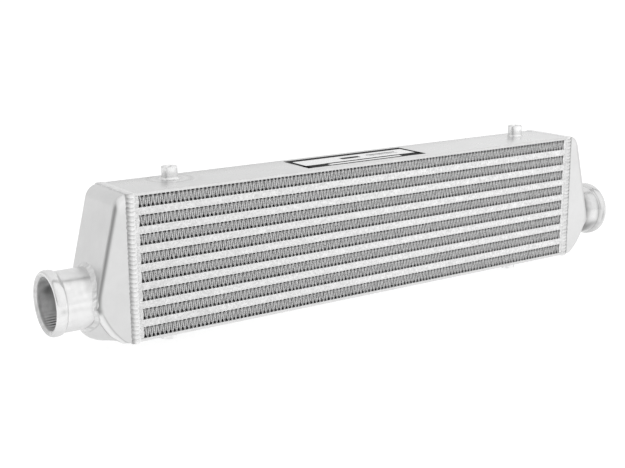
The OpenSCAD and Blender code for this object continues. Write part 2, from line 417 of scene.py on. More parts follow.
def boxes(corners):
    """corners: (M, 8, 3), the bottom four points counter-clockwise seen from
    +Z, then the top four. Returns points and quads."""
    m = len(corners)
    q = np.array([[0, 3, 2, 1], [4, 5, 6, 7], [0, 1, 5, 4], [1, 2, 6, 5], [2, 3, 7, 6], [3, 0, 4, 7]])
    f = (q[None] + 8 * np.arange(m)[:, None, None]).reshape(-1, 4)
    return corners.reshape(-1, 3), f


def fin_row(i, seed):
    rng = np.random.default_rng(seed)
    n, h, t, r = FIN_N, FIN_H, 0.28, 0.46
    z0 = fin_z(i)
    k = np.arange(n + 1)
    x = (k - n / 2) * P2
    drift = wave_noise(x, seed + 7, (40, 90, 230), (0.1, 0.2, 0.3))
    fade = np.clip(np.minimum(k, n - k) / 6.0, 0, 1)
    x = x + (rng.normal(0, 0.10, n + 1) + 0.5 * drift) * fade
    top = (k % 2 == 0)
    front, back = -HY + 0.35 + rng.uniform(0, 0.25), HY - 0.35
    ys = np.array([front, front + 3.0, back - 3.0, back])
    bend = np.zeros((4, n + 1))
    bend[0] = rng.normal(0, 0.13, n + 1) * fade
    bend[3] = rng.normal(0, 0.13, n + 1) * fade
    zone = 2.0  # height without louvres above and below
    # crest pieces: centre line of the strip over one fold
    prof = []
    zc = h - t / 2 - r
    # lean of the legs: half the shift of one leg over the whole height
    slope = (P2 - 2 * r) / (h - t - 2 * r)
    for s in (-1, 1):
        side = []
        side.append((s * (r + slope * (zc - (h - zone))), h - zone))
        for a in (0, 45):
            side.append((s * r * math.cos(math.radians(a)), zc + r * math.sin(math.radians(a))))
        prof.append(side)
    line = prof[0] + [(0.0, zc + r)] + prof[1][::-1]
    line = np.array(line)
    tang = np.gradient(line, axis=0)
    tang /= np.linalg.norm(tang, axis=1)[:, None]
    nor = np.column_stack([-tang[:, 1], tang[:, 0]])
    ring = np.vstack([line + nor * t / 2, (line - nor * t / 2)[::-1]])
    p = len(ring)
    parts_c, parts_f, base = [], [], 0
    # (crest, y section, ring point)
    c = np.zeros((n + 1, 4, p, 3))
    c[..., 0] = (x[:, None] + bend.T)[:, :, None] + ring[None, None, :, 0]
    c[..., 1] = ys[None, :, None]
    zt = np.where(top[:, None, None], ring[None, None, :, 1], h - ring[None, None, :, 1])
    c[..., 2] = z0 + zt
    fq = []
    for s in range(3):
        for j in range(p):
            j2 = (j + 1) % p
            fq.append((s * p + j, s * p + j2, (s + 1) * p + j2, (s + 1) * p + j))
    half = len(line)
    caps = []
    for j in range(half - 1):
        a, b_ = j, j + 1
        caps.append((a, p - 1 - a, p - 1 - b_, b_))
        caps.append(tuple(3 * p + v for v in (b_, p - 1 - b_, p - 1 - a, a)))
    fq = np.array(fq + caps)
    nv = 4 * p
    f_up = fq[None] + (nv * np.arange(n + 1))[:, None, None]
    f_dn = f_up[:, :, ::-1]
    f_all = np.where(top[:, None, None], f_up, f_dn).reshape(-1, 4)
    parts_c.append(c.reshape(-1, 3))
    parts_f.append(f_all)
    base += c.reshape(-1, 3).shape[0]
    # legs: louvres between the folds
    xa = x[:-1] + r
    xb = x[1:] - r
    # x of the leg's centre line at the top and at the bottom of the louvres
    frac = (zone - t / 2 - r) / (h - t - 2 * r)
    x_first = xa + (xb - xa) * frac
    x_last = xb - (xb - xa) * frac
    xt = np.where(top[:-1], x_first, x_last)
    xl = np.where(top[:-1], x_last, x_first)
    bt0 = np.where(top[:-1], bend[0][:-1], bend[0][1:])
    bl0 = np.where(top[:-1], bend[0][1:], bend[0][:-1])
    bt3 = np.where(top[:-1], bend[3][:-1], bend[3][1:])
    bl3 = np.where(top[:-1], bend[3][1:], bend[3][:-1])
    pitch = 1.55
    slats = []  # (y centre, half chord, angle, half thickness)
    slats.append((front + 0.45, 0.45, 0.0, 0.21))
    y = front + 0.95
    for q in range(5):
        slats.append((y + pitch / 2, 0.70, 27.0, 0.1))
        y += pitch
    y_mid0 = y
    slats.append((back - 0.45, 0.45, 0.0, t / 2))
    y = back - 0.95
    for q in range(5):
        slats.append((y - pitch / 2, 0.70, -27.0, 0.1))
        y -= pitch
    y_mid1 = y
    mids = 3
    w = (y_mid1 - y_mid0) / mids
    for q in range(mids):
        yc = y_mid0 + (q + 0.5) * w
        slats.append((yc, w / 2 - 0.25, 2.5 if q == 0 else (-2.5 if q == 2 else 0.0), 0.1))
    m = n
    out = []
    for yc, hc, ang, ht in slats:
        a = np.radians(ang + (rng.normal(0, 3.0, m) if abs(ang) > 10 else 0.0))
        ux, uy = np.sin(a) * np.ones(m), np.cos(a) * np.ones(m)
        vx, vy = np.cos(a) * np.ones(m), -np.sin(a) * np.ones(m)
        box_c = np.zeros((m, 8, 3))
        for q, (su, sv) in enumerate(((-1, -1), (-1, 1), (1, 1), (1, -1))):
            dx = su * hc * ux + sv * ht * vx
            dy = su * hc * uy + sv * ht * vy
            wf = np.clip(1 - (yc + dy - front) / 3.0, 0, 1)
            wb = np.clip(1 - (back - yc - dy) / 3.0, 0, 1)
            box_c[:, q, 0] = xl + dx + bl0 * wf + bl3 * wb
            box_c[:, q + 4, 0] = xt + dx + bt0 * wf + bt3 * wb
            box_c[:, q, 1] = box_c[:, q + 4, 1] = yc + dy
            box_c[:, q, 2] = z0 + zone - 0.1
            box_c[:, q + 4, 2] = z0 + h - zone + 0.1
        out.append(box_c)
    cc, ff = boxes(np.concatenate(out))
    parts_c.append(cc)
    parts_f.append(ff + base)
    return np.vstack(parts_c), np.vstack(parts_f).tolist()


for i in range(1, 9):
    co, fc = fin_row(i, 100 + i)
    make(f"louvred_fin_{i}", co, fc, [M["fin"]], (f"cooling_fin_{i}",), 50.0)

# ---------------------------------------------------------------- bars, plates
xs_bar = np.linspace(-HX, HX, 140)
for i in range(1, 8):
    za, zb = chan_z(i) + SHEET, chan_z(i) + SHEET + BAR_H
    co, fc = bevelled_box(-HX, HX, -HY, -HY + 6, za, zb, 0.35, xs_bar, 0.0, 10 + i)
    make(f"closing_bar_front_{i}", co, fc, [M["bar"]], (f"front_bar_{i}",))
    co, fc = bevelled_box(-HX, HX, HY - 6, HY, za, zb, 0.35, xs_bar, 0.0, 30 + i)
    make(f"closing_bar_rear_{i}", co, fc, [M["bar"]], (f"rear_bar_{i}",))

xs_plate = np.linspace(-HX, HX, 60)
for nm, z0, seed in (("top", HZ - PLATE, 3), ("bottom", -HZ, 4)):
    co, fc = bevelled_box(-HX, HX, -HY, HY, z0, z0 + PLATE, 0.6, xs_plate, 0.0, seed, 4)
    o = make(f"core_plate_{nm}", co, fc, [M["plate"], M["plate_edge"]], (f"{nm}_plate",))
    # the sawn edges at the front and the rear are paler than the rolled faces
    for p in o.data.polygons:
        if abs(p.normal.y) > 0.55:
            p.material_index = 1

for n in range(1, 15):
    o = nodes_of[f"parting_sheet_{n}"]
    o.data.materials.clear()
    o.data.materials.append(M["sheet"])
for n in range(1, 8):
    o = nodes_of[f"turbulator_{n}"]
    o.data.materials.clear()
    o.data.materials.append(M["turb"])


def end_bar_piece(side):
    parts = []
    for i in range(1, 9):
        z0, h = fin_z(i), FIN_H
        rng = np.random.default_rng(40 + i + (0 if side > 0 else 20))
        nose = 0.8 + rng.uniform(-0.25, 0.3)
        pts = [(HX, 0.03), (HX - 5, 0.03), (HX - 5 - nose * 0.75, h * 0.40), (HX - 5 - nose, h * 0.5),
               (HX - 5 - nose * 0.75, h * 0.60), (HX - 5, h - 0.03), (HX, h - 0.03)]
        n = len(pts)
        rows = []
        c0 = np.array([HX - 3.2, h / 2])
        for y, s in ((-HY, 0.3), (-HY + 0.3, 0.0), (HY - 0.3, 0.0), (HY, 0.3)):
            q = np.array(pts)
            d = q - c0
            q = c0 + d * (1 - s / np.maximum(np.linalg.norm(d, axis=1), 1))[:, None]
            rows.append(np.column_stack([side * q[:, 0], np.full(n, y), z0 + q[:, 1]]))
        f = grid_faces(4, n, wrap_cols=True)
        f.append(tuple(reversed(range(n))))
        f.append(tuple(3 * n + k for k in range(n)))
        if side > 0:
            f = flipped(f)
        parts.append((np.vstack(rows), f))
    return merge(parts)


for side, nm in ((-1, "left"), (1, "right")):
    co, fc = end_bar_piece(side)
    make(f"fin_end_bars_{nm}", co, fc, [M["bar"]], (f"{nm}_end_bars",), 30.0)

# ---------------------------------------------------------------- end tanks
CX, CZ = HX, PIPE_Z


def arc_pts(cx, cz, r, a0, a1, n):
    a = np.radians(np.linspace(a0, a1, n))
    return np.column_stack([cx + r * np.cos(a), cz + r * np.sin(a)])


def resample(p, n):
    d = np.r_[0, np.cumsum(np.linalg.norm(np.diff(p, axis=0), axis=1))]
    s = np.linspace(0, d[-1], n)
    return np.column_stack([np.interp(s, d, p[:, 0]), np.interp(s, d, p[:, 1])])


def silhouette():
    """Outline of the tank half-way through its depth, mouth to mouth."""
    return np.vstack([[(HX, HZ)], arc_pts(280.6, 56, 14, 90, 13.7, 24),
                      arc_pts(300.28, -50, 20, 13.7, -90, 30), [(HX, -HZ)]])


FR = 2.8  # depth of the rounded edge in the upper part
INSET = 4.3  # and its width, seen from the front


def face_outline():
    """Outline of the flat front and rear faces, inside the rounded edge."""
    up = np.vstack([[(HX, HZ - INSET)], arc_pts(280.6, 56, 14 - INSET, 90, 13.7, 24)])
    zz = np.linspace(40, -20, 14)
    line = np.column_stack([lean_x(zz) - INSET * 1.0293, zz])
    low = np.array([(309.7, -25.5), (309.8, -29.5), (308.7, -35.0), (307.0, -39.8), (304.5, -45.0),
                    (301.1, -51.0), (297.0, -56.8), (292.8, -62.0), (288.8, -66.0), (285.3, -68.4),
                    (281.5, -69.3), (HX, -69.4)])
    return np.vstack([up, line, low])


def polar(p):
    d = p - np.array([CX, CZ])
    return np.arctan2(d[:, 1], np.maximum(d[:, 0], 0)), np.hypot(d[:, 0], d[:, 1])


def tank_grid(rows=190):
    sil = resample(silhouette(), 1600)
    out = resample(face_outline(), 1600)
    pb, rb = polar(sil)
    pf, rf = polar(out)
    # rows evenly along the silhouette
    phi = np.interp(np.linspace(0, 1, rows), np.linspace(0, 1, 1600), pb)
    RB = np.interp(-phi, -pb, rb)
    k = np.hanning(41)
    k /= k.sum()
    rf_s = np.convolve(np.pad(rf, 20, "edge"), k, "valid")
    edge = np.minimum(np.arange(1600), np.arange(1600)[::-1]) / 60.0
    rf = rf + (rf_s - rf) * np.clip(edge, 0, 1)
    RF = np.interp(-phi, -pf, rf)
    RF = np.minimum(RF, RB - 0.5)
    return phi, RF, RB


PHI, RF, RB = tank_grid()


def tank_section(n_band=9, n_belly=16):
    """Per row of the grid: y (from the front edge inwards) and distance from
    the centre, for the front half of the section."""
    deg = np.degrees(PHI)
    low = smoothstep(-deg, 6, 24)
    foot = smoothstep(-deg, 50, 66)
    dB = RB - RF
    sK = FR + (6.2 - FR) * low * (1 - 0.45 * foot)
    oK = np.minimum(dB, 3.0 + (5.5 - 3.0) * low - 1.9 * foot)
    oK = np.where(low < 1e-3, dB, oK * smoothstep(-deg, 0, 22) + np.minimum(dB, oK + 50) * (1 - smoothstep(-deg, 0, 22)))
    oK = np.minimum(oK, dB)
    T = np.radians(90 - 28 * low)
    groove = 0.5 * (1 - smoothstep(deg, -12, -4)) * (1 - smoothstep(-deg, 74, 80))
    # faint step where the flat face meets the rounded lower edge
    step = 0.3 * (1 - smoothstep(deg, 77, 80)) * (1 - smoothstep(-deg, 70, 78))
    Y, R = [], []
    for k, t in enumerate(np.linspace(0, 1, n_band)):
        a = T * t
        dip = step * (0.0, 1.0, 0.35)[k] if k < 3 else 0.0
        Y.append(-HY + sK * (1 - np.cos(a)) / (1 - np.cos(T)) + dip)
        R.append(RF + oK * np.sin(a) / np.sin(T))
    def belly(u):
        return RF + oK + (dB - oK) * (1 - (1 - u) ** 2.1)
    for du, g in ((0.16, 1.0), (0.36, 1.0), (0.6, 0.0)):
        u = du / (HY - sK)
        Y.append(-HY + sK + du)
        R.append(belly(u) - g * groove)
    for u in np.linspace(0, 1, n_belly)[1:]:
        uu = 0.03 + 0.97 * u
        Y.append(-HY + sK + (HY - sK) * uu)
        R.append(belly(uu))
    return np.array(Y).T, np.array(R).T


FACE = (0.03, 0.35, 0.62, 0.78, 0.88, 0.95, 0.985)  # rings on the flat faces


def tank_painted_light():
    """Painted shade and highlights on the casting, per point of the half grid: painted shade in the crease, the groove
    and the belly, painted highlights on the rounded edge low down and at the top corner."""
    deg = np.degrees(PHI)[:, None]
    up = smoothstep(deg, -17, -8) * (1 - smoothstep(deg, 78.5, 80.5))
    low = (1 - smoothstep(deg, -20, -11)) * (1 - smoothstep(-deg, 76, 82))
    top = smoothstep(deg, 79.5, 82) * (1 - smoothstep(deg, 87, 89.5))
    nf = len(FACE)
    t = np.ones((len(PHI), nf + 9 + 3 + 15))
    band_up = np.array([0.93, 0.68, 0.5, 0.41, 0.44, 0.74, 1.0, 1.0, 1.0, 1.0, 1.0, 1.0])
    band_low = np.array([1.0, 0.72, 0.98, 1.14, 1.2, 1.22, 1.22, 1.18, 1.05, 0.42, 0.42, 0.94])
    t[:, nf:nf + 12] += up * (band_up - 1) + low * (band_low - 1)
    t[:, nf + 12:] += 0.06 * smoothstep(deg, 70, 80) - 0.03 * low
    t[:, :nf] += 0.03
    t[:, nf - 1] -= 0.04 * up[:, 0]
    t[:, nf:nf + 8] += 0.16 * top
    t[:, nf - 3:nf] += np.array([0.04, 0.12, 0.17]) * top
    return t


def tank_mesh():
    Yh, Rh = tank_section()
    face = np.array(FACE)[None, :]
    Yh = np.hstack([np.full((len(PHI), len(FACE)), -HY), Yh])
    Rh = np.hstack([RF[:, None] * face, Rh])
    inner_r = np.hstack([(RF[:, None] - 4.0) * face, Rh[:, len(FACE):] - 4.0])
    tone = tank_painted_light()
    # the other half mirrored, sharing the middle column
    Y = np.hstack([Yh, -Yh[:, :-1][:, ::-1]])
    R, inner_r, tone = (np.hstack([v, v[:, :-1][:, ::-1]]) for v in (Rh, inner_r, tone))
    rows, cols = Y.shape
    ph = PHI[:, None]

    def place(Yv, Rv):
        x = CX + Rv * np.cos(ph)
        z = CZ + Rv * np.sin(ph)
        x[0, :] = HX
        x[-1, :] = HX
        return np.stack([x, Yv, z], -1).reshape(-1, 3)
    outer = place(Y, R)
    inner = place(Y * (HY - 4) / HY, inner_r)
    co = np.vstack([outer, inner])
    nv = rows * cols
    f = grid_faces(rows, cols)
    f += flipped(grid_faces(rows, cols, nv))
    f.append(tuple(i * cols for i in range(rows)))
    f.append(tuple(i * cols + cols - 1 for i in reversed(range(rows))))
    f.append(tuple(nv + i * cols for i in reversed(range(rows))))
    f.append(tuple(nv + i * cols + cols - 1 for i in range(rows)))
    for j in range(cols - 1):
        f.append((j + 1, j, nv + j, nv + j + 1))
        a = (rows - 1) * cols
        f.append((a + j, a + j + 1, nv + a + j + 1, nv + a + j))
    a = (rows - 1) * cols
    f.append((0, a, nv + a, nv))
    b = cols - 1
    f.append((a + b, b, nv + b, nv + a + b))
    return co, f, tone.ravel()


def set_tone(me, values):
    att = me.attributes.new("tone", "FLOAT", "POINT")
    att.data.foreach_set("value", np.asarray(values, np.float32))


def write_tone(me, tone, co):
    """Gives each point of the mesh the tone of the nearest of co, in mm."""
    tree = KDTree(len(co))
    for k, v in enumerate(co):
        tree.insert(Vector(v) * 0.001, k)
    tree.balance()
    set_tone(me, [float(tone[tree.find(v.co)[1]]) for v in me.vertices])


def cylinder_cutter(r, x0, x1, zc, n=160):
    a = np.linspace(0, 2 * math.pi, n, endpoint=False)
    ring = np.column_stack([r * np.cos(a), zc + r * np.sin(a)])
    co = np.vstack([np.column_stack([np.full(n, x0), ring]), np.column_stack([np.full(n, x1), ring])])
    f = [(j, (j + 1) % n, n + (j + 1) % n, n + j) for j in range(n)]
    f.append(tuple(reversed(range(n))))
    f.append(tuple(range(n, 2 * n)))
    me = bpy.data.meshes.new("cutter")
    me.from_pydata((co * 0.001).tolist(), [], f)
    o = bpy.data.objects.new("cutter", me)
    bpy.context.scene.collection.objects.link(o)
    return o


tank_co, tank_f, tank_t = tank_mesh()
TANK_TREE = BVHTree.FromPolygons([Vector(v) for v in tank_co.tolist()], tank_f)


def surface_x(y, z):
    """x of the right tank's outer surface at (y, z), in mm."""
    hit = TANK_TREE.ray_cast(Vector((400, y, z)), Vector((-1, 0, 0)))
    return hit[0].x if hit[0] is not None else lean_x(z)


for side, nm in ((-1, "left"), (1, "right")):
    co = tank_co if side > 0 else mirror_x(tank_co)
    fc = tank_f if side > 0 else flipped(tank_f)
    n_out = (190 - 1) * (len(tank_co) // 380 - 1)
    idx = [1 if n_out <= k < 2 * n_out else 0 for k in range(len(fc))]
    o = make(f"cast_tank_{nm}", co, fc, [M["tank"], M["tank_in"]], (f"{nm}_end_tank",), 32.0,
             idx)
    lo, hi = sorted((side * 296.0, side * 340.0))
    boolean(o, cylinder_cutter(PIPE_R, lo, hi, PIPE_Z))
    o.data.name = o.name
    smooth(o.data, 32.0)
    # the right-hand tank gets only 0.3 of the painted shade and highlights
    write_tone(o.data, tank_t if side < 0 else 1 + 0.3 * (tank_t - 1), co[:len(tank_t)])

# ---------------------------------------------------------------- hose spigots
def spot(x, deg, x0, d0, wx, wd):
    """Soft round spot on a pipe, mostly painted shade and painted highlights, a few stains: 1 at its middle, 0 away
    from it.
    """
    dd = (deg - d0 + 180) % 360 - 180
    return np.exp(-((x - x0) / wx) ** 2 - (dd / wd) ** 2)


def spigot_mesh(side, n=360):
    prof = [(None, PIPE_R)] + [(float(x), PIPE_R) for x in np.arange(313.0, 338.0, 1.5)]
    prof += [(338.9, PIPE_R), (339.2, PIPE_R - 0.1),
             (339.5, PIPE_R - 0.28), (339.75, PIPE_R - 0.3), (339.95, PIPE_R - 0.16), (340.1, PIPE_R + 0.02)]
    for k in range(1, 6):
        u = k / 5
        prof.append((340.1 + 1.9 * u, PIPE_R + 1.7 * (1 - math.cos(math.pi * u)) / 2))
    prof += [(343.2, PIPE_R + 1.95), (344.2, PIPE_R + 2.11), (345.2, PIPE_R + 2.18)]
    for a in range(10, 91, 10):
        r = math.radians(a)
        prof.append((346.6 + 4.3 * math.sin(r) ** 1.15, 28.0 + 2.8 * math.cos(r) ** 0.9))
    # rolled lip, a little tighter than the bore behind it
    first_in = len(prof)
    for a in range(15, 91, 15):
        r = math.radians(a)
        prof.append((348.6 + 2.3 * math.cos(r), 28.0 - 3.1 * math.sin(r)))
    prof += [(347.3, BORE_R - 0.4), (346.0, BORE_R - 0.1)]
    prof += [(float(x), BORE_R) for x in np.arange(345.0, 322.0, -1.0)]
    prof.append((None, BORE_R))
    a = np.linspace(0, 2 * math.pi, n, endpoint=False)
    deg = np.degrees(a)
    # ridges along the bore, low down in it, left by the drawing of the tube
    ridge = np.sin(2 * math.pi * (deg + 1.5 * np.sin(a * 7)) / 7.5)
    rows, tone = [], []
    for k, (x, r) in enumerate(prof):
        rr = np.full(n, r)
        if x is None:
            xx = lean_x(PIPE_Z + r * np.sin(a)) - 4 * 1.03
        else:
            xx = np.full(n, x)
        patch = 0.035 * wave_noise(deg / 4 + xx / 3, 8, (5, 11, 19)) * wave_noise(xx / 2 - deg / 7, 9, (4, 9, 15))
        if k < first_in:
            # painted shade on the outside: darker near the root at the front and at the lip's far side; patch is random
            # tone
            t = 1.0 + patch - 0.10 * spot(xx, deg, 314, 180, 5, 90)
            t = t - 0.24 * smoothstep(xx, 348.5, 350.5) * (0.5 + 0.5 * np.cos(a))
            if side < 0:
                # left pipe: painted dark reflection lines above and below, painted shade in spots, and a painted
                # highlight on the bead
                t = t - 0.05 * spot(xx, deg, 328, 92, 30, 22) - 0.05 * spot(xx, deg, 328, 252, 30, 22)
                t = t - 0.22 * spot(xx, deg, 345.4, 180.5, 3.0, 4.5) - 0.09 * spot(xx, deg, 329, 184, 12, 6)
                t = t - 0.05 * spot(xx, deg, 330, 147, 20, 14) - 0.12 * spot(xx, deg, 318, 140, 4, 16)
                t = t + 0.08 * spot(xx, deg, 342.0, 132, 2.6, 25) + 0.03 * spot(xx, deg, 328, 168, 14, 12)
            else:
                # right pipe: painted darker overall, with painted shade in large spots for the darker things it
                # reflects
                t = t - 0.11 - 0.48 * spot(xx, deg, 315, 165, 9, 45) - 0.62 * spot(xx, deg, 320, 221, 15, 19)
                t = t - 0.3 * spot(xx, deg, 338.8, 178, 2.6, 34) - 0.2 * spot(xx, deg, 331, 206, 8, 8)
                t = t - 0.38 * spot(xx, deg, 344.6, 188, 1.9, 15) + 0.12 * spot(xx, deg, 327, 185, 8, 15)
                t = t - 0.2 * spot(xx, deg, 319, 139, 6, 10) + 0.06 * spot(xx, deg, 344.5, 195, 3, 40)
                t = np.maximum(t, 0.3) - 0.12 * smoothstep(xx, 347, 350.5)
        else:
            mark = spot(xx, deg, 339, 297, 5.5, 17)
            if r == BORE_R:
                rr = rr - 0.2 * mark * (0.5 + 0.5 * ridge) - 0.1 * np.abs(patch) / 0.035
            # inside the bore: painted shade deeper in, at the mouth and in spots; mark darkens and lightens along the
            # drawing ridges
            t = 0.95 + 4.5 * patch - 0.30 * smoothstep(-xx, -338, -328)
            t = t - 0.62 * spot(xx, deg, 338.5, 12, 6, 14) - 0.35 * spot(xx, deg, 344, 34, 4, 9)
            t = t + mark * (0.8 * ridge - 0.1) - 0.2 * smoothstep(xx, 349.0, 350.5) - 0.12 * spot(xx, deg, 344, 285, 8, 60)
            t = np.maximum(t, 0.12)
        rows.append(np.column_stack([xx, rr * np.cos(a), PIPE_Z + rr * np.sin(a)]))
        tone.append(t)
    co = np.vstack(rows)
    m = len(prof)
    f = grid_faces(m, n, wrap_rows=True, wrap_cols=True)
    idx = [1 if first_in <= k // n else 0 for k in range(len(f))]
    return co, f, idx, np.concatenate(tone)


for side, nm in ((-1, "left"), (1, "right")):
    co, f, idx, tone = spigot_mesh(side)
    if side < 0:
        co = mirror_x(co)
    else:
        f = flipped(f)
    o = make(f"hose_spigot_{nm}", co, f, [M["pipe"], M["bore"]], (f"{nm}_spigot",), 40.0, idx)
    set_tone(o.data, tone)


def ring_weld_mesh(seed, n=420, m=11):
    """Weld bead round the pipe's root, laid on the tank's real surface."""
    rng = np.random.default_rng(seed)
    a = np.linspace(0, 2 * math.pi, n, endpoint=False)
    s = a * 30.0
    ph = np.cumsum(1 + 0.12 * wave_noise(s, seed, (5, 11, 23))) * (s[1] - s[0]) / 4.6
    ph *= round(ph[-1]) / ph[-1]
    wob_o = wave_noise(s, seed + 1, (9, 21, 60))
    n1 = wave_noise(s, seed + 5, (4, 8, 15))
    rows, tone = [], []
    # the tank's surface under the toe, evened out over a few ripples
    toe = 32.1 * 0.985
    under = np.array([surface_x(max(-32.3, min(32.3, toe * math.cos(v))), PIPE_Z + toe * math.sin(v)) for v in a])
    k = np.hanning(35)
    under = np.convolve(np.r_[under[-17:], under, under[:17]], k / k.sum(), "valid")
    deg = np.degrees(a)
    # painted reflections round the ring: darker near 225 and 88 degrees, brighter near 145
    painted_reflection = -0.14 * np.exp(-((deg - 225) / 20) ** 2) - 0.10 * np.exp(-((deg - 88) / 26) ** 2)
    painted_reflection = painted_reflection + 0.06 * np.exp(-((deg - 145) / 16) ** 2)
    toe_shade_weight = 1 - 0.85 * np.exp(-((deg - 105) / 45) ** 2)
    for j in range(m):
        u = j / (m - 1)  # 0 on the pipe, 1 on the tank
        f = np.mod(ph + 0.35 * (u - 0.5) ** 2, 1)
        rip = 1 - np.abs(2 * f - 1) ** 2.5
        pts = []
        n2 = wave_noise(s + 4 * u, seed + 6, (6, 10, 17))
        # painted shade at the toe against the tank, less of it near 105 degrees, and at the root against the pipe; the
        # noise terms make it uneven
        tone.append(0.96 + painted_reflection + 0.10 * n1 * math.sin(math.pi * u) + 0.07 * n2
                    - 0.22 * smoothstep(u, 0.65, 1.0) * (0.7 + 0.6 * n2) * toe_shade_weight - 0.10 * (1 - smoothstep(u, 0.0, 0.3)))
        for i in range(n):
            ro = 32.1 + 0.35 * wob_o[i]
            r = PIPE_R - 0.05 + (ro - PIPE_R) * (1 - math.cos(math.pi * u / 2)) ** 0.9
            y, z = r * math.cos(a[i]), PIPE_Z + r * math.sin(a[i])
            leg = 4.3 * (1 - math.sin(math.pi * u / 2)) ** 0.75
            lump = (0.42 + 0.08 * rip[i] + 0.2 * n2[i]) * math.sin(math.pi * min(1, u * 1.02)) ** 1.3
            x = under[i] - 0.15 + leg + lump * 0.9
            pts.append((x, y + 0.5 * lump * math.cos(a[i]), z + 0.5 * lump * math.sin(a[i])))
        rows.append(np.array(pts))
    # closed underside, sunk in the tank's wall
    for r, d in ((31.9, -1.6), (PIPE_R - 0.05, -1.6)):
        pts = []
        for i in range(n):
            y, z = r * math.cos(a[i]), PIPE_Z + r * math.sin(a[i])
            pts.append((surface_x(max(-32.0, min(32.0, y)), z) + d, y, z))
        rows.append(np.array(pts))
        tone.append(np.full(n, 0.8))
    co = np.vstack(rows)
    return co, grid_faces(len(rows), n, wrap_rows=True, wrap_cols=True), np.concatenate(tone)


for side, nm in ((-1, "left"), (1, "right")):
    co, fc, tone = ring_weld_mesh(60 + side)
    if side < 0:
        co, fc = mirror_x(co), flipped(fc)
    o = make(f"spigot_weld_ring_{nm}", co, fc, [M["ring"]], (f"{nm}_spigot_weld",), 60.0)
    # the right ring is painted darker throughout: painted shade
    set_tone(o.data, tone if side < 0 else tone * 0.66)

